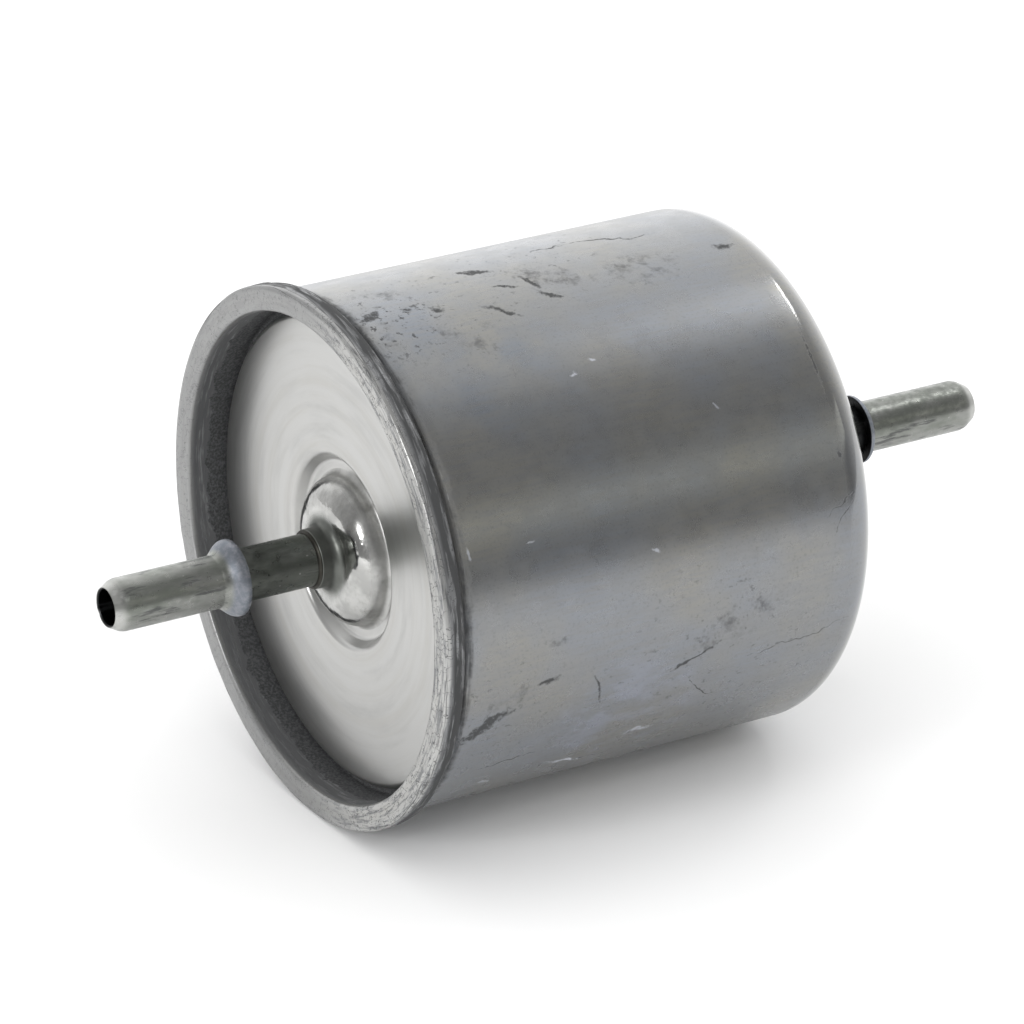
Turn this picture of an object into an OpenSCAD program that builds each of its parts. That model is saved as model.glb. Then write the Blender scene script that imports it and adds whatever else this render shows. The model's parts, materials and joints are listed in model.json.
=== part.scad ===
// In-line fuel filter: a seamed steel canister with a pleated paper element inside.
// The filter's axis is X, from the inlet (-X) to the outlet (+X). The origin lies on that axis,
// near the middle of the straight wall that a strap clamp holds. +Z is up.
//
// A turned piece is drawn as a half section with points [r, u], where r is the distance from the
// axis and u is the distance from the crest of the seam, growing towards the outlet.

/* [Canister] */
// Outer radius of the straight wall, which the strap clamp holds
body_r = 39.5; // [33:0.1:50]
// Length from the crest of the seam to the closed end face
can_len = 79; // [72:0.5:120]
// Sheet thickness of the drawn canister
can_wall = 0.6; // [0.5:0.05:0.7]
// Radial width of the rounded shoulder at the closed end
shoulder_width = 17.9; // [8:0.1:20]
// Axial depth of the rounded shoulder
shoulder_depth = 8.9; // [4:0.1:12]
// Distance from the crest of the seam to the middle of the wall that the clamp holds
clamp_mid = 37; // [35:0.5:60]

/* [Seam] */
// Outer radius of the seam less the radius of the wall
seam_step = 1.7; // [1.5:0.05:2.5]
// Height of the seam along the axis
seam_h = 3.6; // [3.4:0.1:5]
// Sealing film between two layers of the seam
seam_film = 0.05; // [0.03:0.01:0.08]
// Length over which the wall narrows into the seam
neck_len = 1.6; // [1:0.1:3]

/* [End cover] */
// Sheet thickness of the end cover
cover_t = 0.9; // [0.8:0.05:1]
// Depth of the cover's panel below the crest of the seam
panel_depth = 6; // [4.5:0.1:9]
// Radius of the round bottom of the groove between panel and wall
groove_r = 0.55; // [0.4:0.05:1]
// Radius of the panel's edge bend
panel_bend = 1; // [1:0.05:1.6]
// Distance from the boss's foot to the edge of the central recess round it
recess_margin = 3.3; // [2.8:0.1:8]
// Depth of the central recess below the panel
recess_depth = 2; // [1.5:0.1:3.5]

/* [Tubes] */
// Outer radius of both tubes
tube_r = 3.97; // [3:0.01:5]
// Bore radius of both tubes
tube_bore_r = 2.75; // [2:0.05:2.9]
// Length of the inlet stub beyond the crest of the seam
inlet_stub = 32.8; // [26:0.1:60]
// Length of the outlet stub beyond the closed end face
outlet_stub = 38.6; // [32:0.1:70]
// Distance from a tube's tip to the sharp back edge of its bead
bead_back = 21; // [16:0.1:24]
// Length of the inlet's bead, from the first rise to the back edge
inlet_bead_len = 3.6; // [2.5:0.1:5]
// Outer radius of the inlet's bead
inlet_bead_r = 5.75; // [5.3:0.05:6.5]
// Length of the outlet's bead, which is shorter and rises steeply
outlet_bead_len = 1.8; // [1.2:0.1:5]
// Outer radius of the outlet's bead
outlet_bead_r = 5.35; // [5.3:0.05:6.5]
// Length of the cone at the tip
tip_cone = 1.45; // [0.8:0.05:2.5]
// Length of the round run from the cone to the full radius
tip_ease = 1; // [0.5:0.1:2]

/* [Bosses] */
// Outer radius of the dome's foot
boss_foot_r = 12.2; // [10:0.1:13]
// Height of the boss above the sheet that it stands on
boss_h = 7.4; // [5:0.1:9]
// Wall of the neck round the tube
boss_neck_wall = 0.55; // [0.3:0.05:1]
// Straight length of the neck
boss_neck_len = 1.4; // [0.8:0.1:3]
// Radius of the shank that passes through the sheet
boss_shank_r = 6; // [5.2:0.1:7]
// Radius and thickness of the flange staked over inside
boss_flange = [7.5, 0.8]; // [0.5:0.1:9]
// Width of the braze fillet round each neck
braze_w = 0.5; // [0.2:0.05:1]

/* [Filter element] */
// Gap round the element's caps, through which the fuel comes
side_gap = 2.5; // [1:0.1:4]
// Distance from the end cover's inside to the inlet cap
inlet_gap = 5.1; // [3.6:0.1:9]
// Distance from the outlet cap to the start of the rounded shoulder
element_end_gap = 0.7; // [0.2:0.1:4]
// Sheet thickness of both end caps
cap_t = 0.8; // [0.5:0.1:1.2]
// Depth of the lip round each cap, measured from the cap's face
cap_lip = 3.4; // [2.5:0.1:6]
// Thickness of the adhesive between a cap and the paper
glue_t = 1.2; // [0.8:0.1:2]
// Number of pleats
pleats = 48; // [30:1:48]
// Thickness of the pleated paper
paper_t = 0.5; // [0.3:0.05:0.5]
// Half width of one pleat at its outer fold
fold_half = 0.9; // [0.8:0.05:1.2]
// Outer radius of the perforated centre tube
core_r = 12.3; // [11.9:0.1:16]
// Sheet thickness of the centre tube
core_t = 0.5; // [0.4:0.05:0.8]
// Radius of the centre tube's holes
core_hole_r = 1.5; // [1:0.1:2]
// Number of rows of holes along the centre tube
core_rows = 8; // [4:1:9]
// Thickness of the woven strainer round the centre tube
strainer_t = 0.3; // [0.2:0.05:0.5]

/* [Spring, plate and seal] */
// Mean radius of the spring
spring_r = 9.3; // [8.8:0.1:9.5]
// Wire radius of the spring
wire_r = 0.7; // [0.4:0.05:0.75]
// Number of turns of the spring
spring_turns = 4; // [3:1:4]
// Depth of the spring's pocket in the inlet cap
pocket_depth = 4; // [2:0.1:6]
// Thickness of the support plate
plate_t = 0.8; // [0.6:0.1:1.2]
// Length of the rim that holds the support plate in the wall
plate_rim = 3.8; // [2:0.1:6]
// Number of holes in the support plate
plate_holes = 8; // [5:1:10]
// Radius of the support plate's holes
plate_hole_r = 4; // [2:0.1:5]
// Clearance between the element and the plate that it rests on
rest_gap = 0.1; // [0.05:0.05:0.3]
// Running clearance between the seal and the outlet tube
seal_clear = 0.05; // [0.01:0.01:0.1]
// Radial width of the seal's body
seal_w = 2.85; // [2:0.05:3.5]
// Length of the outlet tube's end inside the seal
spigot_in = 5.6; // [3:0.1:6]

/* [Hidden] */
$fn = 96;

crest_x = -clamp_mid;
touch = 0.02;

// Layers of the seam, from the outside in: cover, canister hook, cover hook, canister wall, cover
seam_r = body_r + seam_step;
seam_bend = (2 * cover_t + can_wall + 2 * seam_film) / 2;
can_bend = (cover_t + 2 * seam_film) / 2;
seam_neck_r = seam_r - 2 * seam_bend - seam_film;
cover_wall_r = seam_neck_r - can_wall - seam_film - cover_t;
seam_low_u = seam_h - seam_bend;
crest_bend = cover_t + 0.1;

// Places along the axis
shoulder_u = can_len - shoulder_depth;
floor_u = panel_depth + recess_depth;
cover_inside_u = floor_u + cover_t;
element_start = cover_inside_u + inlet_gap;
outlet_cap_u = shoulder_u - element_end_gap;
paper_u = [element_start + cap_t + glue_t, outlet_cap_u - cap_t - glue_t];
plate_u = outlet_cap_u + rest_gap;

// Radii of the element
cap_r = body_r - can_wall - side_gap;
glue_r = cap_r - cap_t;
clip_t = 0.4;
fold_r = glue_r - clip_t - 0.6;
pocket_r = core_r - core_t - 2 * touch - cap_t;
strainer_r = core_r + touch + strainer_t;
paper_in_r = strainer_r + 0.1;
seal_r = tube_r + seal_clear + seal_w;
seal_lip = 1;
seal_neck_len = 5;

// Points of an arc about c from angle a0 to a1, in degrees
function arc(c, r, a0, a1, n = 8) =
    [for (i = [0:n]) let (a = a0 + (a1 - a0) * i / n) c + r * [cos(a), sin(a)]];
// Unit normal on the left of the line from a to b
function left(a, b) = let (d = b - a) [-d[1], d[0]] / norm(d);
// A path moved sideways by t, with mitred corners
function beside(p, t) = [for (i = [0:len(p) - 1])
    let (n0 = i == 0 ? left(p[0], p[1]) : left(p[i - 1], p[i]),
         n1 = i == len(p) - 1 ? n0 : left(p[i], p[i + 1]))
    p[i] + t * (n0 + n1) / (1 + n0 * n1)];
function reversed(p) = [for (i = [len(p) - 1:-1:0]) p[i]];
// A point at radius r and angle a
function polar(r, a) = r * [cos(a), sin(a)];

// Turns a half section about the filter's axis
module turned() translate([crest_x, 0, 0]) rotate([0, 90, 0]) rotate_extrude() children();
// A half section of sheet whose outer face follows path p, with its thickness t on the left of p
module sheet(p, t) polygon(concat(p, reversed(beside(p, t))));
// A plain ring between two radii and two places along the axis
module ring(r0, r1, u0, u1) turned() translate([r0, u0]) square([r1 - r0, u1 - u0]);
// Turns a half section of the outlet side about, so that an inlet piece serves there
module outlet_side(at) translate([crest_x + at, 0, 0]) rotate([0, 180, 0]) translate([-crest_x, 0, 0])
    children();

// ---- Housing ----

module canister() {
    quarter = [for (a = [0:6:90])
        [body_r - shoulder_width + shoulder_width * sin(a), shoulder_u + shoulder_depth * cos(a)]];
    neck = [for (i = [0:6]) let (s = (1 - cos(30 * i)) / 2)
        [body_r + (seam_neck_r - body_r) * s, seam_h + neck_len * (1 - i / 6)]];
    hook = arc([seam_neck_r + can_bend, seam_low_u], can_bend, 180, 360);
    hook_end = [seam_neck_r + 2 * can_bend, seam_h - cover_t - seam_film];
    path = concat([[boss_shank_r, can_len]], quarter, neck, hook, [hook_end]);
    color("silver") turned() sheet(reversed(path), can_wall);
}

// Outer face of the end cover from its hole to the tip of its hook
function cover_path() = let (
        foot_bend = 0.8, edge_bend = 1.2, slope = 60, groove_run = 0.2,
        edge_c = [boss_foot_r + recess_margin, panel_depth + edge_bend],
        edge_start = edge_c + edge_bend * [-sin(slope), -cos(slope)],
        run = (floor_u - foot_bend * (1 - cos(slope)) - edge_start[1]) / tan(slope),
        foot_c = [edge_start[0] - run - foot_bend * sin(slope), floor_u - foot_bend],
        bend_c = [cover_wall_r - 2 * groove_r - panel_bend, panel_depth + panel_bend],
        groove_c = [cover_wall_r - groove_r, panel_depth + panel_bend + groove_run])
    concat([[boss_shank_r, floor_u]],
        arc(foot_c, foot_bend, 90, 90 - slope, 5),
        arc(edge_c, edge_bend, 270 - slope, 270, 5),
        arc(bend_c, panel_bend, 270, 360, 6),
        arc(groove_c, groove_r, 180, 0),
        arc([cover_wall_r + crest_bend, crest_bend], crest_bend, 180, 270, 6),
        arc([seam_r - crest_bend, crest_bend], crest_bend, 270, 360, 6),
        arc([seam_r - seam_bend, seam_low_u], seam_bend, 0, 180, 12),
        [[seam_r - 2 * seam_bend, seam_low_u - 0.15]]);

module end_cover() color("gainsboro") turned() sheet(cover_path(), cover_t);

// Sealing compound in the hollow between the crest and the canister's hook
module seam_compound() {
    hook_c = [seam_neck_r + can_bend, seam_low_u];
    hook_r = can_bend + can_wall + touch;
    top_u = cover_t + touch;
    color("dimgray") turned() polygon(concat(
        arc(hook_c, hook_r, 205, 335),
        [[hook_c[0] + hook_r * cos(25), top_u], [hook_c[0] - hook_r * cos(25), top_u]]));
}

// Outer line of a stub, measured from its tip: cone, ease, straight and bead
function stub_line(bead_len, bead_r) = let (
        cone_r = tube_r - 0.17, rise = bead_r - tube_r, flank = bead_len - 0.5)
    concat([[tube_bore_r + touch, 0], [cone_r, tip_cone]],
        [for (i = [1:4]) let (s = i / 4)
            [cone_r + (tube_r - cone_r) * sin(90 * s), tip_cone + tip_ease * s]],
        [for (i = [0:8]) let (s = i / 8)
            [tube_r + rise * (1 - cos(180 * s)) / 2, bead_back - bead_len + flank * s]],
        [[bead_r, bead_back], [tube_r, bead_back]]);

module inlet_tube() color("darkgray") turned() {
    tip = -inlet_stub;
    end = cover_inside_u + boss_flange[1] + 1.3;
    line = [for (p = stub_line(inlet_bead_len, inlet_bead_r)) p + [0, tip]];
    polygon(concat(line, [[tube_r, end], [tube_bore_r, end], [tube_bore_r, tip]]));
}

module outlet_tube() color("darkgray") turned() {
    tip = can_len + outlet_stub;
    end = outlet_cap_u + seal_neck_len - spigot_in + seal_lip;
    line = [for (p = stub_line(outlet_bead_len, outlet_bead_r)) [p[0], tip - p[1]]];
    polygon(concat(line, [[tube_r, end], [tube_bore_r, end], [tube_bore_r, tip]]));
}

// Domed ferrule that carries a tube: neck, dome, shank through the sheet and staked flange.
// Its foot stands on a sheet of thickness t whose outer face is at u = foot.
module boss(foot, t) {
    neck_r = tube_r + boss_neck_wall;
    top = foot - boss_h + boss_neck_len;
    flare = 1.5;
    dome_h = boss_h - boss_neck_len - flare;
    color("whitesmoke") turned() polygon(concat(
        [[tube_r, foot - boss_h], [neck_r, foot - boss_h]],
        arc([neck_r + flare, top], flare, 180, 90, 6),
        [for (a = [10:10:90]) [neck_r + flare + (boss_foot_r - neck_r - flare) * sin(a),
            foot - dome_h * cos(a)]],
        [[boss_shank_r, foot], [boss_shank_r, foot + t], [boss_flange[0], foot + t],
         [boss_flange[0] - 0.3, foot + t + boss_flange[1]], [tube_r, foot + t + boss_flange[1]]]));
}

module inlet_boss() boss(floor_u, cover_t);
module outlet_boss() outlet_side(can_len) boss(0, can_wall);

// Braze fillet in the corner between the tube and the end of the boss's neck
module braze_ring(foot) color("darkkhaki") turned() polygon(concat(
    [[tube_r, foot - boss_h]],
    arc([tube_r + braze_w, foot - boss_h - braze_w], braze_w, 90, 180, 5)));

module inlet_braze_ring() braze_ring(floor_u);
module outlet_braze_ring() outlet_side(can_len) braze_ring(0);

// Dished plate in the wall that carries the element against the flow
module support_plate() {
    rim_r = body_r - can_wall;
    hole_circle_r = (seal_r + cap_t + rim_r) / 2;
    color("lightsteelblue") difference() {
        turned() union() {
            translate([seal_r + 2 * cap_t + 1, plate_u])
                square([rim_r - seal_r - 2 * cap_t - 1, plate_t]);
            translate([rim_r - plate_t, plate_u - plate_rim]) square([plate_t, plate_rim + plate_t]);
        }
        for (i = [0:plate_holes - 1]) rotate([i * 360 / plate_holes, 0, 0])
            translate([crest_x + plate_u - 1, 0, hole_circle_r]) rotate([0, 90, 0])
                cylinder(r = plate_hole_r, h = plate_t + 2, $fn = 48);
    }
}

// Coil spring between the end cover and the pocket of the inlet cap
module support_spring() {
    steps = 16;
    sides = 8;
    from = cover_inside_u + wire_r;
    to = element_start + pocket_depth - wire_r;
    last = spring_turns * steps;
    points = [for (k = [0:last], j = [0:sides - 1])
        let (a = 360 * k / steps, b = 360 * j / sides, r = spring_r + wire_r * cos(b))
        [crest_x + from + (to - from) * k / last + wire_r * sin(b), r * cos(a), r * sin(a)]];
    side_faces = [for (k = [0:last - 1], j = [0:sides - 1])
        let (a = k * sides + j, b = k * sides + (j + 1) % sides) [a, b, b + sides, a + sides]];
    first_cap = [for (j = [sides - 1:-1:0]) j];
    last_cap = [for (j = [0:sides - 1]) last * sides + j];
    color("slategray") polyhedron(points, concat([first_cap], side_faces, [last_cap]));
}

// ---- Filter element ----

// One outline of the pleated paper: folds at radius far, valleys at radius near
module pleat_outline(far, far_half, near, near_half) {
    pitch = 360 / pleats;
    polygon([for (i = [0:pleats - 1]) each [
        polar(far, i * pitch - far_half), polar(far, i * pitch + far_half),
        polar(near, (i + 0.5) * pitch - near_half), polar(near, (i + 0.5) * pitch + near_half)]]);
}

module filter_media() {
    valley_r = paper_in_r + paper_t;
    valley_half = 0.1 / valley_r * 180 / PI;
    color("khaki") translate([crest_x + paper_u[0], 0, 0]) rotate([0, 90, 0])
        linear_extrude(paper_u[1] - paper_u[0]) difference() {
            pleat_outline(fold_r, fold_half / fold_r * 180 / PI, valley_r, valley_half);
            pleat_outline(fold_r - paper_t, (fold_half - paper_t) / fold_r * 180 / PI,
                paper_in_r, valley_half + paper_t / paper_in_r * 180 / PI);
        }
}

// Closed cap with a pocket that seats the spring and centres the centre tube
module inlet_end_cap() color("burlywood") turned() sheet(concat(
    [[0, element_start + pocket_depth], [pocket_r, element_start + pocket_depth],
     [pocket_r, element_start], [cap_r, element_start], [cap_r, element_start + cap_lip]]), cap_t);

// Open cap whose neck holds the seal
module outlet_end_cap() {
    neck_u = outlet_cap_u + seal_neck_len;
    color("burlywood") turned() union() {
        translate([seal_r, outlet_cap_u - cap_t]) square([cap_r - seal_r, cap_t]);
        translate([seal_r, outlet_cap_u - cap_t]) square([cap_t, neck_u - outlet_cap_u + cap_t]);
        translate([cap_r - cap_t, outlet_cap_u - cap_lip]) square([cap_t, cap_lip]);
    }
}

module centre_tube() {
    length = paper_u[1] - paper_u[0];
    columns = 10;
    pitch = length / core_rows;
    color("lightgray") difference() {
        ring(core_r - core_t, core_r, paper_u[0], paper_u[1]);
        for (row = [0:core_rows - 1], column = [0:columns - 1])
            translate([crest_x + paper_u[0] + (row + 0.5) * pitch, 0, 0])
                rotate([(column + (row % 2) / 2) * 360 / columns, 0, 0])
                    translate([0, 0, core_r - core_t - 1])
                        cylinder(r = core_hole_r, h = core_t + 2, $fn = 24);
    }
}

module lint_strainer() color("tan") ring(core_r + touch, strainer_r, paper_u[0], paper_u[1]);

module inlet_cap_adhesive() color("darkorange")
    ring(pocket_r + cap_t + touch, glue_r - touch, element_start + cap_t, paper_u[0]);

module outlet_cap_adhesive() color("darkorange")
    ring(core_r - core_t, glue_r - touch, paper_u[1], outlet_cap_u - cap_t);

// Folded strip over one pleat, where the two ends of the paper meet
module pleat_seam_clip() {
    grip = 6;
    inner_half = fold_half + 0.06;
    color("lightgray") translate([crest_x + paper_u[0], 0, 0]) rotate([0, 90, 0])
        linear_extrude(paper_u[1] - paper_u[0]) difference() {
            translate([fold_r - grip, -inner_half - clip_t])
                square([grip + 0.1 + clip_t, 2 * (inner_half + clip_t)]);
            translate([fold_r - grip - 1, -inner_half]) square([grip + 1.1, 2 * inner_half]);
        }
}

// Rubber grommet that grips the outlet cap's neck and seals on the outlet tube
module element_seal() {
    in_r = tube_r + seal_clear;
    neck_u = outlet_cap_u + seal_neck_len;
    color("black") turned() union() {
        translate([in_r, outlet_cap_u - cap_t - seal_lip])
            square([seal_w, neck_u - outlet_cap_u + cap_t + 2 * seal_lip]);
        translate([in_r, outlet_cap_u - cap_t - seal_lip]) square([seal_w + cap_t, seal_lip]);
        translate([in_r, neck_u]) square([seal_w + cap_t, seal_lip]);
    }
}

canister();
end_cover();
seam_compound();
inlet_tube();
inlet_boss();
inlet_braze_ring();
outlet_tube();
outlet_boss();
outlet_braze_ring();
support_plate();
support_spring();
filter_media();
inlet_end_cap();
outlet_end_cap();
centre_tube();
lint_strainer();
inlet_cap_adhesive();
outlet_cap_adhesive();
pleat_seam_clip();
element_seal();
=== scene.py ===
"""Looks of the in-line fuel filter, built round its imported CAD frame.

The filter's axis is X, from the inlet (-X) to the outlet (+X), and all lengths are in metres.
A turned piece is drawn as an outline of points (x, r), where r is the distance from the axis.
"""

import json
import math

import bpy
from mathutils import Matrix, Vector


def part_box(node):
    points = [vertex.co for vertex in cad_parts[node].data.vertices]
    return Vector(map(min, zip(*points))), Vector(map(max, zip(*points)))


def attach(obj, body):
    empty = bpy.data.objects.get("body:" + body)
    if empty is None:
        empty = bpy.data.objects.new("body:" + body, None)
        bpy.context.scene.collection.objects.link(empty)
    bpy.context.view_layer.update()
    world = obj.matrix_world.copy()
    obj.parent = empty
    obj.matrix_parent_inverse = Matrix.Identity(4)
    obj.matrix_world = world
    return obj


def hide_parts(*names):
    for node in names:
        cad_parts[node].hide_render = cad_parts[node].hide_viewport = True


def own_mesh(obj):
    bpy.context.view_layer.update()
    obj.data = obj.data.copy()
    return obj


bl_info = {
    "name": "Fuel filter looks",
    "version": (1, 0, 0),
    "blender": (4, 5, 0),
    "location": "View3D > Sidebar > Fuel filter",
    "description": "Turned sheet-steel pieces, worn metal finishes and a plain studio for a fuel filter",
    "category": "Object",
}

MM = 0.001

# Sizes in millimetres that both a shape and its finish need
SEAM_HEIGHT = 3.6
BEAD_BACK = 21
SHOULDER_DEPTH = 8.9

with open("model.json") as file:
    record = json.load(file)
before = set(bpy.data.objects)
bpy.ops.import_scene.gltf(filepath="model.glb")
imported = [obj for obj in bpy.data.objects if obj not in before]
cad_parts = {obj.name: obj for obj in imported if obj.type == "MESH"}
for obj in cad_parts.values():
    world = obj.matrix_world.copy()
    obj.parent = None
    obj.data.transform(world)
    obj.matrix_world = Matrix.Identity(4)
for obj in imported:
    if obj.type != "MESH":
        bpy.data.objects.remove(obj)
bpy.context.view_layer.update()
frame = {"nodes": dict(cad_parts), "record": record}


def mount_radius(name):
    """Radius in metres that the record gives for a mount."""
    mount = next(m for m in frame["record"]["mounts"] if m["name"] == name)
    return mount["dims"]["r_mm"] * MM


# Places and sizes that the CAD frame fixes
CREST_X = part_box("end_cover")[0].x
SEAM_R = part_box("end_cover")[1].z
END_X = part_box("canister")[1].x
WALL_R = mount_radius("body_clamp")
TUBE_R = mount_radius("inlet_spigot")
INLET_X = (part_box("inlet_tube")[0].x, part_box("inlet_tube")[1].x)
OUTLET_X = (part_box("outlet_tube")[0].x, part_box("outlet_tube")[1].x)
BEAD_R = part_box("inlet_tube")[1].z
OUTLET_BEAD_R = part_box("outlet_tube")[1].z
BOSS_X = (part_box("inlet_boss")[0].x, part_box("inlet_boss")[1].x)
OUTLET_BOSS_X = (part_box("outlet_boss")[0].x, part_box("outlet_boss")[1].x)
BOSS_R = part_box("inlet_boss")[1].z
BRAZE_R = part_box("inlet_braze_ring")[1].z


# ---- Sizes and colours that a user would change ----


def length(name, description, default_mm):
    """A length property, given in millimetres."""
    return bpy.props.FloatProperty(
        name=name, description=description, default=default_mm * MM, min=0.0, unit="LENGTH"
    )


def colour(name, description, default):
    """A colour property with linear red, green and blue."""
    return bpy.props.FloatVectorProperty(
        name=name, description=description, default=default, size=3, min=0.0, max=1.0, subtype="COLOR"
    )


class FilterSizes(bpy.types.PropertyGroup):
    """Sizes of the sheet-metal pieces that the CAD boxes don't give."""

    steps: bpy.props.IntProperty(
        name="Steps", description="Steps of one full turn of the lathe", default=224, min=48, max=360
    )
    can_wall: length("Canister sheet", "Sheet thickness of the canister", 0.6)
    shoulder_width: length("Shoulder width", "Radial width of the rounded shoulder", 17.9)
    shoulder_depth: length("Shoulder depth", "Axial depth of the rounded shoulder", SHOULDER_DEPTH)
    seam_height: length("Seam height", "Height of the seam along the axis", SEAM_HEIGHT)
    seam_film: length("Seam film", "Sealing film between two layers of the seam", 0.05)
    neck_length: length("Neck length", "Length over which the wall narrows into the seam", 1.6)
    cover_sheet: length("Cover sheet", "Sheet thickness of the end cover", 0.9)
    panel_depth: length("Panel depth", "Depth of the panel below the crest of the seam", 6)
    recess_depth: length("Recess depth", "Depth of the central recess below the panel", 2)
    recess_margin: length("Recess margin", "Distance from the boss's foot to the recess's edge", 3.3)
    groove_radius: length("Groove radius", "Radius of the groove between panel and wall", 0.55)
    panel_bend: length("Panel bend", "Radius of the bend at the panel's edge", 1)
    tube_bore: length("Tube bore", "Bore radius of both tubes", 2.75)
    bead_back: length("Bead place", "Distance from a tube's tip to the back of its bead", BEAD_BACK)
    bead_length: length("Inlet bead", "Length of the inlet's bead", 3.6)
    outlet_bead_length: length("Outlet bead", "Length of the outlet's bead", 1.8)
    tip_cone: length("Tip cone", "Length of the cone at a tube's tip", 1.45)
    boss_height: length("Boss height", "Height of the boss above its sheet", 7.4)
    boss_shank: length("Boss shank", "Radius of the shank that passes through the sheet", 6)
    ding_depth: length("Ding depth", "Depth of the dings along the seam", 0.2)


class FilterColours(bpy.types.PropertyGroup):
    """Base colours of the finishes."""

    canister: colour("Canister", "Zinc-grey drawn sheet", (0.270, 0.274, 0.276))
    cover: colour("Cover", "Light satin plated sheet", (0.53, 0.53, 0.52))
    tube: colour("Tube", "Dull drawn tube", (0.32, 0.325, 0.31))
    boss: colour("Boss", "Polished plating", (0.56, 0.56, 0.545))
    # Grime and shade: road dirt and old oil, and also the painted shade in the tube bores, behind the
    # outlet's bead, deep in the groove and beside the seam
    grime_and_shade: colour("Grime", "Road dirt and old oil", (0.022, 0.023, 0.024))
    floor: colour("Floor", "Plain pale floor", (0.86, 0.86, 0.86))


# ---- Outlines ----


def arc(centre, radius, start, end, count=8):
    """Points of an arc about centre from one angle to another, in degrees from +r towards +x."""
    turns = (math.radians(start + (end - start) * i / count) for i in range(count + 1))
    return [(centre[0] + radius * math.sin(t), centre[1] + radius * math.cos(t)) for t in turns]


def unit_normal(a, b):
    """Unit normal of the line from a to b, on the inner side of an outer face."""
    dx, dr = b[0] - a[0], b[1] - a[1]
    run = math.hypot(dx, dr)
    return dr / run, -dx / run


def beside(path, offset):
    """A path moved to its inner side by offset, with mitred corners."""
    last = len(path) - 1
    moved = []
    for i, point in enumerate(path):
        before = unit_normal(path[max(i - 1, 0)], path[max(i, 1)])
        after = unit_normal(path[min(i, last - 1)], path[min(i + 1, last)])
        share = offset / (1 + before[0] * after[0] + before[1] * after[1])
        moved.append((point[0] + share * (before[0] + after[0]), point[1] + share * (before[1] + after[1])))
    return moved


def sheet(path, thickness):
    """Outline of sheet metal whose outer face is path."""
    return path + beside(path, thickness)[::-1]


def filled(path, run):
    """A path with points added so that no straight run is longer than run."""
    points = [path[0]]
    for a, b in zip(path, path[1:]):
        count = max(1, math.ceil(math.hypot(b[0] - a[0], b[1] - a[1]) / run))
        points += [(a[0] + (b[0] - a[0]) * i / count, a[1] + (b[1] - a[1]) * i / count)
                   for i in range(1, count + 1)]
    return points


def seam_layers(s):
    """Radii and places that the cover and the canister share in the seam."""
    bend = (2 * s.cover_sheet + s.can_wall + 2 * s.seam_film) / 2
    return {
        "bend": bend,
        "hook_bend": (s.cover_sheet + 2 * s.seam_film) / 2,
        "neck_r": SEAM_R - 2 * bend - s.seam_film,
        "low_x": CREST_X + s.seam_height - bend,
    }


def canister_outline(s):
    """Drawn canister: closed end, rounded shoulder, wall, neck and hook in the seam."""
    seam = seam_layers(s)
    shoulder = [
        (END_X - s.shoulder_depth * (1 - math.cos(t)), WALL_R - s.shoulder_width * (1 - math.sin(t)))
        for t in (math.radians(a) for a in range(0, 91, 3))
    ]
    neck_x = CREST_X + s.seam_height
    neck = []
    for i in range(9):
        share = (1 - math.cos(math.pi * i / 8)) / 2
        neck.append((neck_x + s.neck_length * (1 - i / 8), WALL_R + (seam["neck_r"] - WALL_R) * share))
    hook_r = seam["neck_r"] + seam["hook_bend"]
    hook = arc((seam["low_x"], hook_r), seam["hook_bend"], 180, 360)
    hook_end = (neck_x - s.cover_sheet - s.seam_film, seam["neck_r"] + 2 * seam["hook_bend"])
    wall = filled([shoulder[-1], neck[0]], 2 * MM)
    path = [(END_X, s.boss_shank)] + shoulder + wall[1:] + neck[1:] + hook + [hook_end]
    return sheet(path[::-1], s.can_wall)


def cover_outline(s):
    """End cover: recess, panel, groove, wall and the hook that wraps the seam."""
    seam = seam_layers(s)
    foot_bend, edge_bend, slope = 0.8 * MM, 1.2 * MM, 60
    panel_x = CREST_X + s.panel_depth
    floor_x = panel_x + s.recess_depth
    wall_r = seam["neck_r"] - s.can_wall - s.seam_film - s.cover_sheet
    crest_bend = s.cover_sheet + 0.1 * MM
    lean = math.radians(slope)
    edge_c = (panel_x + edge_bend, BOSS_R + s.recess_margin)
    edge_start = (edge_c[0] - edge_bend * math.cos(lean), edge_c[1] - edge_bend * math.sin(lean))
    run = (floor_x - foot_bend * (1 - math.cos(lean)) - edge_start[0]) / math.tan(lean)
    foot_c = (floor_x - foot_bend, edge_start[1] - run - foot_bend * math.sin(lean))
    groove_c = (panel_x + s.panel_bend + 0.2 * MM, wall_r - s.groove_radius)
    bend_c = (panel_x + s.panel_bend, wall_r - 2 * s.groove_radius - s.panel_bend)
    return sheet(
        [(floor_x, s.boss_shank)]
        + arc(foot_c, foot_bend, 90, 90 - slope, 6)
        + arc(edge_c, edge_bend, 270 - slope, 270, 8)
        + arc(bend_c, s.panel_bend, 270, 360, 8)
        + arc(groove_c, s.groove_radius, 180, 0, 10)
        + arc((CREST_X + crest_bend, wall_r + crest_bend), crest_bend, 180, 270, 8)
        + arc((CREST_X + crest_bend, SEAM_R - crest_bend), crest_bend, 270, 360, 8)
        + arc((seam["low_x"], SEAM_R - seam["bend"]), seam["bend"], 0, 180, 14)
        + [(seam["low_x"] - 0.15 * MM, SEAM_R - 2 * seam["bend"])],
        s.cover_sheet,
    )


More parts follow.
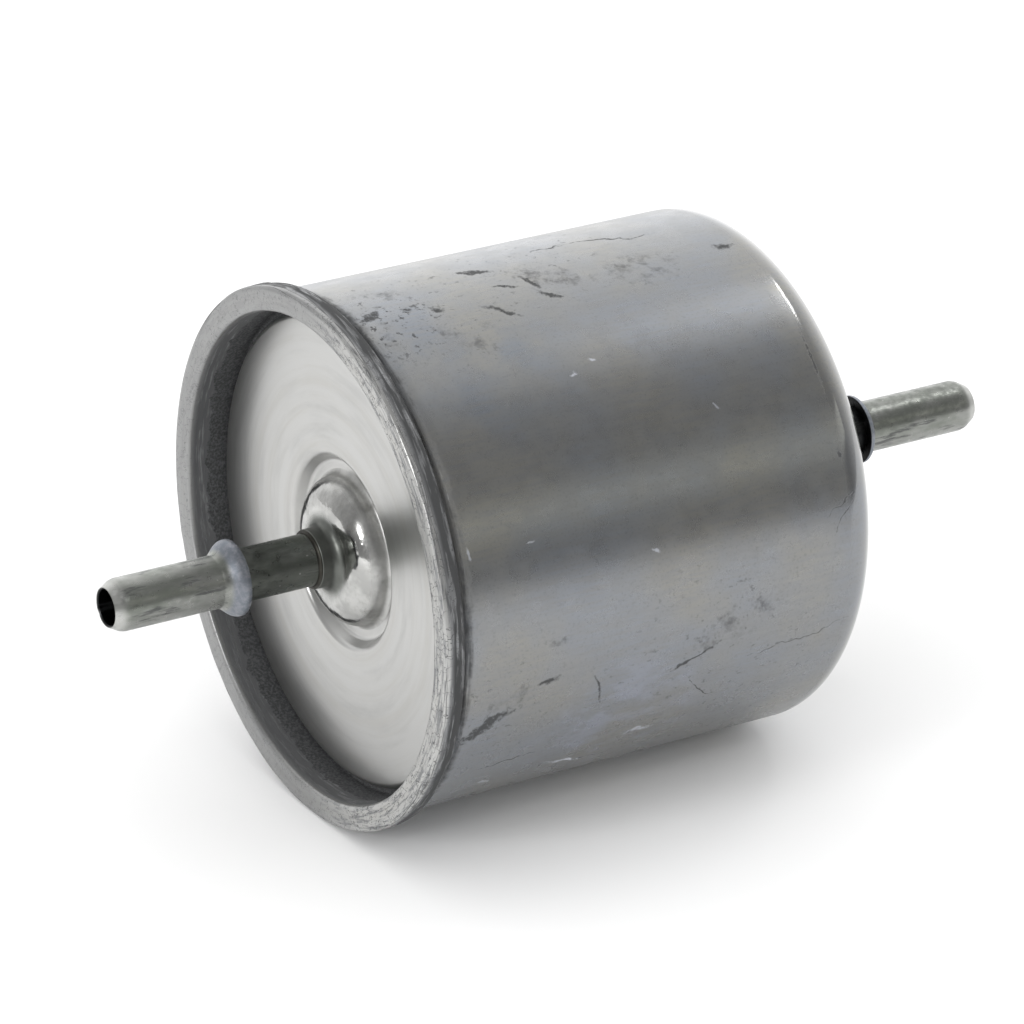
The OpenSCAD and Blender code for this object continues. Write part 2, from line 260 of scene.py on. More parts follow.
def stub_outline(s, tip, end, bead_r, bead_length):
    """Tube with a cone at its tip and a bead, from the tip to its far end inside the canister."""
    way = 1 if end > tip else -1
    cone_r, ease, edge, chamfer = TUBE_R - 0.17 * MM, 1 * MM, 0.15 * MM, 0.25 * MM
    flat = 0.5 * MM
    rise, flank = bead_r - TUBE_R, bead_length - flat
    start = s.bead_back - bead_length
    line = [(chamfer, s.tube_bore), (0, s.tube_bore + chamfer), (s.tip_cone - edge, cone_r - edge / 2)]
    line += [(s.tip_cone + ease * t, cone_r + (TUBE_R - cone_r) * math.sin(math.pi / 2 * t))
             for t in (i / 6 for i in range(7))]
    line += [(start + flank * t, TUBE_R + rise * (1 - math.cos(math.pi * t)) / 2)
             for t in (i / 16 for i in range(17))]
    line += arc((s.bead_back - edge, bead_r - edge), edge, 0, 90, 4)
    line += [(s.bead_back, TUBE_R), (abs(end - tip), TUBE_R), (abs(end - tip), s.tube_bore)]
    return [(tip + way * x, r) for x, r in filled(line, 3 * MM)]


def boss_outline(s, neck_x, inner_x, thickness):
    """Domed ferrule: neck, dome, shank through the sheet and flange staked over inside."""
    way = 1 if inner_x > neck_x else -1
    neck_r, neck_length, flare = TUBE_R + 0.55 * MM, 1.4 * MM, 1.5 * MM
    flange_r, flange = 7.5 * MM, 0.8 * MM
    foot, edge = s.boss_height, 0.12 * MM
    cove = 0.8 * MM
    dome_h, dome_w = foot - cove - neck_length - flare, BOSS_R - cove - neck_r - flare
    line = [(0, TUBE_R), (0, neck_r - edge), (edge, neck_r)]
    line += [(x, r) for x, r in arc((neck_length, neck_r + flare), flare, 180, 90, 12)]
    line += [(foot - cove - dome_h * math.cos(a), neck_r + flare + dome_w * math.sin(a))
             for a in (math.radians(d) for d in range(5, 91, 5))]
    line += arc((foot - cove, BOSS_R), cove, 180, 90, 6)[1:]
    line += [(foot, s.boss_shank), (foot + thickness, s.boss_shank), (foot + thickness, flange_r),
             (foot + thickness + flange, flange_r - 0.3 * MM), (foot + thickness + flange, TUBE_R)]
    return [(neck_x + way * x, r) for x, r in line]


def braze_outline(neck_x, way):
    """Fillet in the corner between a tube and the end of its boss's neck."""
    width = BRAZE_R - TUBE_R
    line = [(0, TUBE_R)] + arc((-width, TUBE_R + width), width, 90, 180, 6)
    return [(neck_x + way * x, r) for x, r in line]


# ---- Modelling ----


def turn(name, outline, steps):
    """Draws an outline from one vertex in edit mode and spins it once round the filter's axis."""
    bpy.ops.object.select_all(action="DESELECT")
    start = outline[0]
    bpy.ops.mesh.primitive_plane_add(size=MM, location=(start[0], 0, start[1]))
    piece = bpy.context.object
    piece.name = piece.data.name = name
    bpy.ops.object.mode_set(mode="EDIT")
    bpy.ops.mesh.select_all(action="SELECT")
    bpy.ops.mesh.merge(type="CENTER")
    for a, b in zip(outline, outline[1:] + outline[:1]):
        bpy.ops.mesh.extrude_region_move(
            TRANSFORM_OT_translate={"value": (b[0] - a[0], 0, b[1] - a[1])}
        )
    bpy.ops.mesh.select_all(action="SELECT")
    bpy.ops.mesh.remove_doubles(threshold=0.001 * MM)
    bpy.ops.mesh.spin(steps=steps, angle=math.tau, center=(0, 0, 0), axis=(1, 0, 0))
    bpy.ops.mesh.select_all(action="SELECT")
    bpy.ops.mesh.remove_doubles(threshold=0.001 * MM)
    bpy.ops.mesh.normals_make_consistent(inside=False)
    bpy.ops.object.mode_set(mode="OBJECT")
    bpy.ops.object.transform_apply(location=True, rotation=True, scale=True)
    bpy.ops.object.shade_smooth_by_angle(angle=math.radians(40))
    return piece


def ding(piece, depth, keep):
    """Presses small irregular dings into the vertices of a piece that keep(vertex) picks."""
    group = piece.vertex_groups.new(name="dinged")
    group.add([v.index for v in piece.data.vertices if keep(v.co)], 1.0, "REPLACE")
    texture = bpy.data.textures.new("dings", "CLOUDS")
    texture.noise_scale = 4 * MM
    texture.noise_depth = 2
    texture.contrast = 1.6
    press = piece.modifiers.new("dings", "DISPLACE")
    press.texture = texture
    press.texture_coords = "LOCAL"
    press.vertex_group = group.name
    press.mid_level = 1.0
    press.strength = depth
    bpy.ops.object.modifier_apply(modifier=press.name)
    piece.vertex_groups.clear()
    bpy.data.textures.remove(texture)


def finish_piece(piece, node, material):
    """Gives a modelled piece its finish, body and slot, and lets it stand for its CAD node."""
    piece.data.materials.clear()
    piece.data.materials.append(material)
    body = next(n for n, members in frame["record"]["behaviour"]["bodies"].items() if node in members)
    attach(piece, body)
    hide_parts(node)


# ---- Node groups ----


class Graph:
    """Short calls for the shader nodes that the finishes use."""

    def __init__(self, tree):
        self.tree = tree

    def add(self, kind, inputs=None, **settings):
        """A node with its settings, and its inputs linked to sockets or set to values."""
        node = self.tree.nodes.new(kind)
        for key, value in settings.items():
            setattr(node, key, value)
        for key, value in (inputs or {}).items():
            if isinstance(value, bpy.types.NodeSocket):
                self.tree.links.new(value, node.inputs[key])
            else:
                node.inputs[key].default_value = value
        return node

    def math(self, operation, a, b=0.0):
        """A math node's value."""
        return self.add("ShaderNodeMath", {0: a, 1: b}, operation=operation).outputs[0]

    def scaled(self, vector, scale):
        """A vector stretched along each axis."""
        return self.add("ShaderNodeVectorMath", {0: vector, 1: scale}, operation="MULTIPLY").outputs[0]

    def noise(self, vector, scale, detail=3.0, roughness=0.55):
        """Smooth noise round 0.5."""
        inputs = {"Vector": vector, "Scale": scale, "Detail": detail, "Roughness": roughness}
        return self.add("ShaderNodeTexNoise", inputs).outputs["Fac"]

    def step(self, value, low, high):
        """0 below low, 1 above high and a smooth rise between, or the other way round if low > high."""
        inputs = {"Value": value, "From Min": low, "From Max": high}
        return self.add("ShaderNodeMapRange", inputs, interpolation_type="SMOOTHSTEP").outputs[0]

    def mix(self, share, a, b):
        """A colour between a and b."""
        a, b = (c if isinstance(c, bpy.types.NodeSocket) else (*c, 1) for c in (a, b))
        return self.add("ShaderNodeMix", {0: share, 6: a, 7: b}, data_type="RGBA").outputs[2]

    def blend(self, share, a, b):
        """A number between a and b."""
        return self.add("ShaderNodeMix", {0: share, 2: a, 3: b}, data_type="FLOAT").outputs[0]

    def group(self, tree, inputs=None):
        """A node group placed with its own values; its outputs are returned."""
        node = self.tree.nodes.new("ShaderNodeGroup")
        node.node_tree = tree
        for key, value in (inputs or {}).items():
            if isinstance(value, bpy.types.NodeSocket):
                self.tree.links.new(value, node.inputs[key])
            else:
                node.inputs[key].default_value = value
        return node.outputs


SOCKETS = {"value": "NodeSocketFloat", "vector": "NodeSocketVector", "colour": "NodeSocketColor"}


def new_group(name, inputs, outputs):
    """An empty node group, with its graph, its input sockets and its output node."""
    tree = bpy.data.node_groups.new(name, "ShaderNodeTree")
    for direction, sockets in (("INPUT", inputs), ("OUTPUT", outputs)):
        for title, kind in sockets.items():
            tree.interface.new_socket(name=title, in_out=direction, socket_type=SOCKETS[kind])
    graph = Graph(tree)
    return graph, graph.add("NodeGroupInput").outputs, graph.add("NodeGroupOutput").inputs


def shared(name):
    """Marks a function that builds a node group, so that the group is built once under that name."""

    def wrap(build):
        def get():
            if name not in bpy.data.node_groups:
                build(name)
            return bpy.data.node_groups[name]

        return get

    return wrap


@shared("Round place")
def round_place(name):
    """Where a point lies: millimetres in space, along the axis, from the axis and round the wall.

    Swept is a place whose patterns are drawn out round the axis, about ten times.
    """
    outputs = {"Space": "vector", "Along": "value", "Radius": "value", "Around": "value",
               "Swept": "vector"}
    g, _, out = new_group(name, {}, outputs)
    place = g.add("ShaderNodeTexCoord").outputs["Object"]
    space = g.add("ShaderNodeVectorMath", {0: place, 3: 1 / MM}, operation="SCALE").outputs[0]
    split = g.add("ShaderNodeSeparateXYZ", {0: space}).outputs
    square = g.math("ADD", g.math("MULTIPLY", split[1], split[1]), g.math("MULTIPLY", split[2], split[2]))
    front = g.math("MULTIPLY", split[1], -1.0)
    angle = g.math("ARCTAN2", front, split[2])
    radius = g.math("SQRT", square)
    stretch = g.math("DIVIDE", 4.0, radius)
    swept = g.add("ShaderNodeCombineXYZ", {0: g.math("ADD", split[0], radius),
                                           1: g.math("MULTIPLY", split[1], stretch),
                                           2: g.math("MULTIPLY", split[2], stretch)}).outputs[0]
    for title, value in (("Space", space), ("Along", split[0]), ("Radius", radius), ("Swept", swept),
                         ("Around", g.math("MULTIPLY", angle, WALL_R / MM))):
        g.tree.links.new(value, out[title])


@shared("Patches")
def patches(name):
    """Irregular patches with ragged edges, as dirt and worn plating leave."""
    inputs = {"Vector": "vector", "Scale": "value", "Level": "value", "Softness": "value"}
    g, given, out = new_group(name, inputs, {"Mask": "value"})
    fine = g.noise(given["Vector"], given["Scale"], 8.0, 0.62)
    high = g.math("ADD", given["Level"], given["Softness"])
    g.tree.links.new(g.step(fine, given["Level"], high), out["Mask"])


@shared("Specks")
def specks(name):
    """Small separate spots, some cells of a pattern holding one."""
    inputs = {"Vector": "vector", "Scale": "value", "Size": "value", "Share": "value"}
    g, given, out = new_group(name, inputs, {"Mask": "value"})
    bent = g.add("ShaderNodeTexNoise", {"Vector": given["Vector"], "Scale": 1.3, "Detail": 2.0})
    push = g.add("ShaderNodeVectorMath", {0: bent.outputs["Color"], 3: 0.6}, operation="SCALE").outputs[0]
    vector = g.add("ShaderNodeVectorMath", {0: given["Vector"], 1: push}, operation="ADD").outputs[0]
    cells = g.add("ShaderNodeTexVoronoi", {"Vector": vector, "Scale": given["Scale"]}).outputs
    spot = g.step(cells["Distance"], given["Size"], g.math("MULTIPLY", given["Size"], 0.4))
    pick = g.add("ShaderNodeSeparateColor", {0: cells["Color"]}).outputs[0]
    chosen = g.math("LESS_THAN", pick, given["Share"])
    g.tree.links.new(g.math("MULTIPLY", spot, chosen), out["Mask"])


@shared("Scuff")
def scuff(name):
    """One ragged stroke at a place on a turned surface, at an angle to the axis."""
    inputs = {"Along": "value", "Around": "value", "Space": "vector", "Middle along": "value",
              "Middle around": "value", "Angle": "value", "Half length": "value", "Half width": "value"}
    g, given, out = new_group(name, inputs, {"Mask": "value"})
    dx = g.math("SUBTRACT", given["Along"], given["Middle along"])
    bend = g.math("MULTIPLY", g.math("SUBTRACT", g.noise(given["Space"], 0.22, 2.0), 0.5), 5.0)
    dy = g.math("ADD", g.math("SUBTRACT", given["Around"], given["Middle around"]), bend)
    cos, sin = g.math("COSINE", given["Angle"]), g.math("SINE", given["Angle"])
    run = g.math("ADD", g.math("MULTIPLY", dx, cos), g.math("MULTIPLY", dy, sin))
    side = g.math("SUBTRACT", g.math("MULTIPLY", dy, cos), g.math("MULTIPLY", dx, sin))
    far = g.math("DIVIDE", g.math("ABSOLUTE", run), given["Half length"])
    off = g.math("DIVIDE", g.math("ABSOLUTE", side), given["Half width"])
    reach = g.math("SQRT", g.math("ADD", g.math("POWER", far, 2.0), g.math("POWER", off, 2.0)))
    ragged = g.math("MULTIPLY", g.math("SUBTRACT", g.noise(given["Space"], 1.1, 6.0, 0.7), 0.5), 2.6)
    whole = g.step(g.math("ADD", reach, ragged), 1.05, 0.35)
    broken = g.step(g.noise(given["Space"], 1.9, 5.0, 0.75), 0.30, 0.46)
    g.tree.links.new(g.math("MULTIPLY", whole, broken), out["Mask"])


@shared("Turning marks")
def turning_marks(name):
    """Fine rings that a forming tool leaves, as a height from 0 to 1."""
    inputs = {"Along": "value", "Radius": "value", "Space": "vector", "Pitch": "value"}
    g, given, out = new_group(name, inputs, {"Height": "value"})
    drift = g.noise(given["Space"], 0.05, 2.0)
    place = g.math("ADD", g.math("ADD", given["Along"], given["Radius"]), drift)
    line = g.add("ShaderNodeCombineXYZ", {0: g.math("DIVIDE", place, given["Pitch"]), 1: drift}).outputs[0]
    g.tree.links.new(g.noise(line, 1.0, 4.0, 0.7), out["Height"])


# ---- Finishes ----


def new_material(name):
    """A material with its graph and its shader."""
    material = bpy.data.materials.new(name)
    material.use_nodes = True
    tree = material.node_tree
    tree.nodes.clear()
    g = Graph(tree)
    shader = g.add("ShaderNodeBsdfPrincipled")
    g.add("ShaderNodeOutputMaterial", {"Surface": shader.outputs[0]})
    return material, g, shader.inputs


def tone(colour_value, red, green, blue):
    """A colour with each of its parts scaled."""
    return tuple(min(1.0, c * k) for c, k in zip(colour_value, (red, green, blue)))


def bump(g, height, strength, distance):
    """A bump's normal, with its distance in metres."""
    inputs = {"Height": height, "Strength": strength, "Distance": distance}
    return g.add("ShaderNodeBump", inputs).outputs[0]


def put(g, shader, **values):
    """Links sockets to the shader's inputs or sets values on them."""
    for key, value in values.items():
        socket = shader[key.replace("_", " ")]
        if isinstance(value, bpy.types.NodeSocket):
            g.tree.links.new(value, socket)
        else:
            socket.default_value = value


def most(g, *masks):
    """The strongest of several masks."""
    result = masks[0]
    for mask in masks[1:]:
        result = g.math("MAXIMUM", result, mask)
    return result


# Marks on the wall: middle along, middle around, angle in radians, half length, half width, in mm
WALL_SCUFFS = (
    (-28.4, 76.4, -0.46, 6.8, 1.2), (-18.6, 71.0, -0.3, 2.2, 0.6), (6.8, 73.0, -0.36, 5.6, 0.35),
    (-8.2, 0.0, 0.2, 3.4, 0.9), (-6.4, 6.1, 0.5, 2.6, 0.45), (-10.2, 11.6, 0.78, 3.6, 0.6),
    (-2.3, 5.9, 1.3, 2.8, 0.6), (-0.9, 10.3, 0.8, 2.6, 0.5), (-19.0, 8.4, 1.0, 1.7, 0.6),
    (-23.2, 6.0, 0.7, 1.0, 0.7), (-29.2, 6.6, -0.7, 3.2, 0.9), (30.3, 7.6, 0.1, 1.7, 1.1),
)
# Faint thin lines on the wall and on the shoulder
WALL_LINES = (
    (25.4, 74.6, -0.12, 9.0, 0.12), (9.1, 79.8, 0.74, 4.6, 0.16), (-21.8, 87.0, -0.1, 5.0, 0.2),
    (-8.3, 92.6, 0.18, 7.0, 0.22), (6.5, -3.3, -0.13, 3.6, 0.3), (15.2, -1.6, 0.2, 8.0, 0.3),
    (32.7, 31.5, 1.57, 5.2, 0.32), (32.5, 46.8, 1.3, 1.1, 0.5), (31.6, 54.0, 2.6, 3.6, 0.1),
    (32.3, 55.5, 2.2, 3.4, 0.1), (-9.6, 74.0, 1.2, 3.6, 0.3),
)
# Soft smudges on the wall
WALL_SMUDGES = (
    (-18.2, 16.1, 0.72, 6.0, 2.2), (-29.0, 12.0, 1.8, 4.5, 1.6), (-24.4, 1.0, 0.3, 4.0, 2.0),
    (-14.0, 12.7, 1.2, 2.4, 1.3), (-16.5, 64.2, 0.0, 2.6, 1.0), (15.6, 9.0, 0.1, 7.0, 4.5),
    (-24.0, 72.0, -0.5, 6.0, 2.4), (14.0, 69.0, -0.3, 9.0, 3.0), (2.0, 6.0, 0.6, 8.0, 3.0),
)
# Pale worn spots on the wall
WALL_NICKS = (
    (14.5, 35.0, 0.9, 0.9, 0.35), (1.0, 87.6, 0.12, 2.6, 0.5), (-9.8, 92.3, 0.24, 4.4, 0.5),
    (-23.2, 92.6, 0.5, 1.2, 0.7), (-5.5, 25.3, 0.2, 0.9, 0.3), (-1.6, 24.6, -0.2, 0.7, 0.25),
    (-30.8, 48.8, 1.5, 1.2, 0.25), (-0.6, 53.2, 0.3, 1.0, 0.25), (-20.7, 48.1, 0.1, 0.9, 0.2),
)

# Patches of the wall: their middle and their reach, in millimetres
COOL_PATCH = ((-19.0, -17.0, 35.0), 20.0)
WORN_PATCHES = (
    ((-19.0, -9.0, 38.0), 24.0), ((4.0, 2.0, 39.0), 20.0),
    ((10.0, -36.0, -16.0), 30.0), ((-26.0, -37.0, -12.0), 16.0),
)
CHIPPED_PATCH = ((-27.0, -9.0, 38.0), 12.0)
CHALKY_PATCH = ((-4.0, -33.0, -22.0), 19.0)


def strokes(g, at, table):
    """All the scuffs of a table as one mask."""
    places = {"Along": at["Along"], "Around": at["Around"], "Space": at["Space"]}
    masks = []
    for along, around, angle, half_length, half_width in table:
        values = {"Middle along": along, "Middle around": around, "Angle": angle,
                  "Half length": half_length, "Half width": half_width}
        masks.append(g.group(scuff(), {**places, **values})["Mask"])
    return most(g, *masks)


def near(g, at, place, reach):
    """1 at a place in millimetres, falling to 0 at the distance reach."""
    away = g.add("ShaderNodeVectorMath", {0: at["Space"], 1: place}, operation="DISTANCE").outputs["Value"]
    return g.step(away, reach, reach * 0.35)


def canister_finish(c):
    """Drawn zinc-grey sheet: clouded tone, fine sand, scuffs, smudges, and dirt with painted shade beside
    the seam.
    """
    material, g, shader = new_material("canister_steel")
    at = g.group(round_place())
    cloud = g.noise(at["Space"], 0.05, 4.0)
    bluish, yellowish = tone(c.canister, 0.94, 0.98, 1.06), tone(c.canister, 1.04, 1.01, 0.94)
    grey = g.mix(g.step(cloud, 0.38, 0.62), bluish, yellowish)
    cool = near(g, at, *COOL_PATCH)
    cool = g.math("MULTIPLY", cool, g.step(g.noise(at["Space"], 0.12, 5.0), 0.35, 0.6))
    grey = g.mix(g.math("MULTIPLY", cool, 0.8), grey, tone(c.canister, 0.80, 0.87, 0.99))
    drawn = g.noise(g.scaled(at["Space"], (0.12, 1.0, 1.0)), 1.4, 5.0, 0.7)
    grey = g.mix(g.step(drawn, 0.3, 0.75), grey, tone(c.canister, 0.93, 0.93, 0.94))
    sand = g.noise(at["Space"], 2.4, 6.0, 0.75)
    sand = g.math("MULTIPLY", g.step(sand, 0.52, 0.66), 0.35)
    grey = g.mix(sand, grey, tone(c.canister, 0.55, 0.56, 0.58))
    worn = most(g, *(near(g, at, *patch) for patch in WORN_PATCHES))
    flecks = g.group(patches(), {"Vector": g.scaled(at["Space"], (0.8, 1.0, 1.0)), "Scale": 1.1,
                                 "Level": 0.59, "Softness": 0.10})["Mask"]
    flecks = g.math("MULTIPLY", flecks, g.math("MULTIPLY", worn, 0.45))
    chips = g.group(patches(), {"Vector": at["Space"], "Scale": 0.9, "Level": 0.57,
                                "Softness": 0.05})["Mask"]
    chips = g.math("MULTIPLY", chips, g.math("MULTIPLY", near(g, at, *CHIPPED_PATCH), 0.8))
    smudged = g.group(patches(), {"Vector": at["Space"], "Scale": 0.45, "Level": 0.42,
                                  "Softness": 0.25})["Mask"]
    smudges = g.math("MULTIPLY", strokes(g, at, WALL_SMUDGES), g.math("MULTIPLY", smudged, 0.55))
    lines = g.math("MULTIPLY", strokes(g, at, WALL_LINES), 0.85)
    scuffs = g.math("MULTIPLY", strokes(g, at, WALL_SCUFFS), 0.88)
    # Dark mottled band beside the seam: dirt, and painted shade where the wall meets the seam
    neck = g.group(patches(), {"Vector": at["Swept"], "Scale": 0.8, "Level": 0.34,
                               "Softness": 0.25})["Mask"]
    ragged = g.math("MULTIPLY", g.math("SUBTRACT", g.noise(at["Space"], 0.5, 5.0, 0.7), 0.5), 3.0)
    wall_start = CREST_X / MM + SEAM_HEIGHT
    beside_seam = g.step(g.math("ADD", at["Along"], ragged), wall_start + 2.6, wall_start + 0.8)
    neck = g.math("MULTIPLY", g.math("MULTIPLY", neck, 0.9), beside_seam)
    # dirt gathers every dark mark, including the painted shade beside the seam
    dirt = most(g, flecks, chips, smudges, lines, scuffs, neck)
    chalk = g.group(patches(), {"Vector": g.scaled(at["Space"], (0.6, 1.0, 1.0)), "Scale": 0.28,
                                "Level": 0.44, "Softness": 0.2})["Mask"]
    chalk = g.math("MULTIPLY", chalk, near(g, at, *CHALKY_PATCH))
    grey = g.mix(g.math("MULTIPLY", chalk, 0.5), grey, (0.33, 0.35, 0.42))
    nicks = g.math("MULTIPLY", strokes(g, at, WALL_NICKS), 0.85)
    colour_out = g.mix(nicks, g.mix(dirt, grey, c.grime_and_shade), (0.60, 0.62, 0.68))
    wall_end, wall_r = END_X / MM - SHOULDER_DEPTH, WALL_R / MM
    shoulder = g.step(at["Along"], wall_end - 0.5, wall_end + 0.9)
    shoulder = g.math("MULTIPLY", shoulder, g.step(at["Radius"], wall_r - 7.0, wall_r - 3.0))
    rough = g.blend(g.step(g.noise(at["Space"], 0.3, 5.0), 0.3, 0.7), 0.26, 0.32)
    rough = g.blend(dirt, g.blend(shoulder, rough, 0.12), 0.7)
    height = g.math("SUBTRACT", g.math("MULTIPLY", drawn, 0.15), dirt)
    wave = g.noise(g.scaled(at["Space"], (0.5, 1.0, 1.0)), 0.07, 2.0)
    height = g.math("ADD", height, g.math("MULTIPLY", wave, 3.0))
    put(g, shader, Base_Color=colour_out, Roughness=rough, Metallic=g.blend(dirt, 1.0, 0.1),
        Normal=bump(g, height, 0.35, 0.02 * MM))
    return material


def cover_finish(c):
    """Light satin sheet with broad rings and a swirl, a scraped, cracked seam with soil and painted shade
    on its back, and a groove darkened by soot and painted shade.
    """
    material, g, shader = new_material("cover_steel")
    at = g.group(round_place())
    crest, rim, seam_width = CREST_X / MM, SEAM_R / MM, 4.1
    rings = g.group(turning_marks(), {"Along": 0.0, "Radius": at["Radius"], "Space": at["Space"],
                                      "Pitch": 3.2})["Height"]
    grey = g.mix(g.step(rings, 0.42, 0.72), c.cover, tone(c.cover, 0.92, 0.91, 0.89))
    swirl = g.noise(at["Swept"], 0.3, 4.0, 0.6)
    grey = g.mix(g.step(swirl, 0.45, 0.75), grey, tone(c.cover, 0.84, 0.84, 0.84))
    inner_r = rim - seam_width
    inner_wall = g.math("MULTIPLY", g.step(at["Radius"], inner_r - 1.2, inner_r - 0.7),
                        g.step(at["Along"], crest + 0.5, crest + 1.2))
    grey = g.mix(inner_wall, grey, tone(c.canister, 0.95, 0.95, 0.97))
    seam = g.step(at["Radius"], rim - 4.6, rim - 3.8)
    fine = g.noise(at["Swept"], 2.2, 7.0, 0.7)
    near_side = g.step(g.add("ShaderNodeSeparateXYZ", {0: at["Space"]}).outputs[1], 6.0, -20.0)
    dull = g.math("MULTIPLY", seam, g.blend(near_side, 0.62, g.step(fine, 0.48, 0.60)))
    scraped = g.mix(g.step(fine, 0.35, 0.65), tone(c.canister, 0.62, 0.62, 0.64),
                    tone(c.canister, 0.95, 0.95, 0.96))
    grey = g.mix(dull, grey, scraped)
    # Soot and painted shade deep in the groove: darker past a depth, in sooty patches
    ragged = g.math("MULTIPLY", g.math("SUBTRACT", g.noise(at["Space"], 0.35, 6.0, 0.7), 0.5), 4.5)
    groove_depth_shade = g.step(g.math("ADD", at["Along"], ragged), crest + 3.2, crest + 3.9)
    groove_depth_shade = g.math("MULTIPLY", g.step(at["Radius"], inner_r - 0.9, inner_r - 0.6), groove_depth_shade)
    sooty = g.group(patches(), {"Vector": at["Space"], "Scale": 2.6, "Level": 0.32,
                                "Softness": 0.3})["Mask"]
    groove = g.math("MULTIPLY", groove_depth_shade, g.blend(sooty, 0.62, 0.97))
    # Soil and painted shade on the back of the seam, where it tucks in towards the wall
    side = g.math("MULTIPLY", seam, g.step(at["Along"], crest + 0.7, crest + 1.7))
    soiled = g.group(patches(), {"Vector": at["Swept"], "Scale": 1.6, "Level": 0.34,
                                 "Softness": 0.16})["Mask"]
    folds = g.noise(g.scaled(at["Swept"], (1.0, 0.6, 0.6)), 0.75, 2.0)
    outer = g.step(at["Radius"], rim - 1.2, rim - 0.3)
    folds = g.step(g.math("ABSOLUTE", g.math("SUBTRACT", folds, 0.5)), 0.035, 0.008)
    folds = g.math("MULTIPLY", folds, outer)
    cracks = g.noise(g.scaled(at["Space"], (0.5, 1.0, 1.0)), 0.55, 3.0, 0.6)
    cracks = g.step(g.math("ABSOLUTE", g.math("SUBTRACT", cracks, 0.5)), 0.014, 0.004)
    cracks = g.math("MULTIPLY", cracks, g.math("MULTIPLY", seam, g.blend(near_side, 0.35, 0.75)))
    rim_dirt_and_shade = most(g, cracks, g.math("MULTIPLY", soiled, g.math("MULTIPLY", side, 0.92)),
                    g.math("MULTIPLY", folds, 0.7))
    # dirt holds the cover's dark marks, including the painted shade in the groove and on the seam's back
    dirt = most(g, groove, rim_dirt_and_shade)
    height = g.math("SUBTRACT", g.math("MULTIPLY", rings, 0.9), g.math("MULTIPLY", rim_dirt_and_shade, 2.5))
    height = g.math("ADD", height, g.math("MULTIPLY", g.math("MULTIPLY", seam, fine), 3.0))
    rough = g.blend(seam, g.blend(rings, 0.28, 0.36), g.blend(fine, 0.30, 0.50))
    put(g, shader, Base_Color=g.mix(dirt, grey, c.grime_and_shade), Roughness=g.blend(dirt, rough, 0.75),
        Metallic=g.blend(dirt, 1.0, 0.1), Normal=bump(g, height, 0.5, 0.012 * MM))
    return material


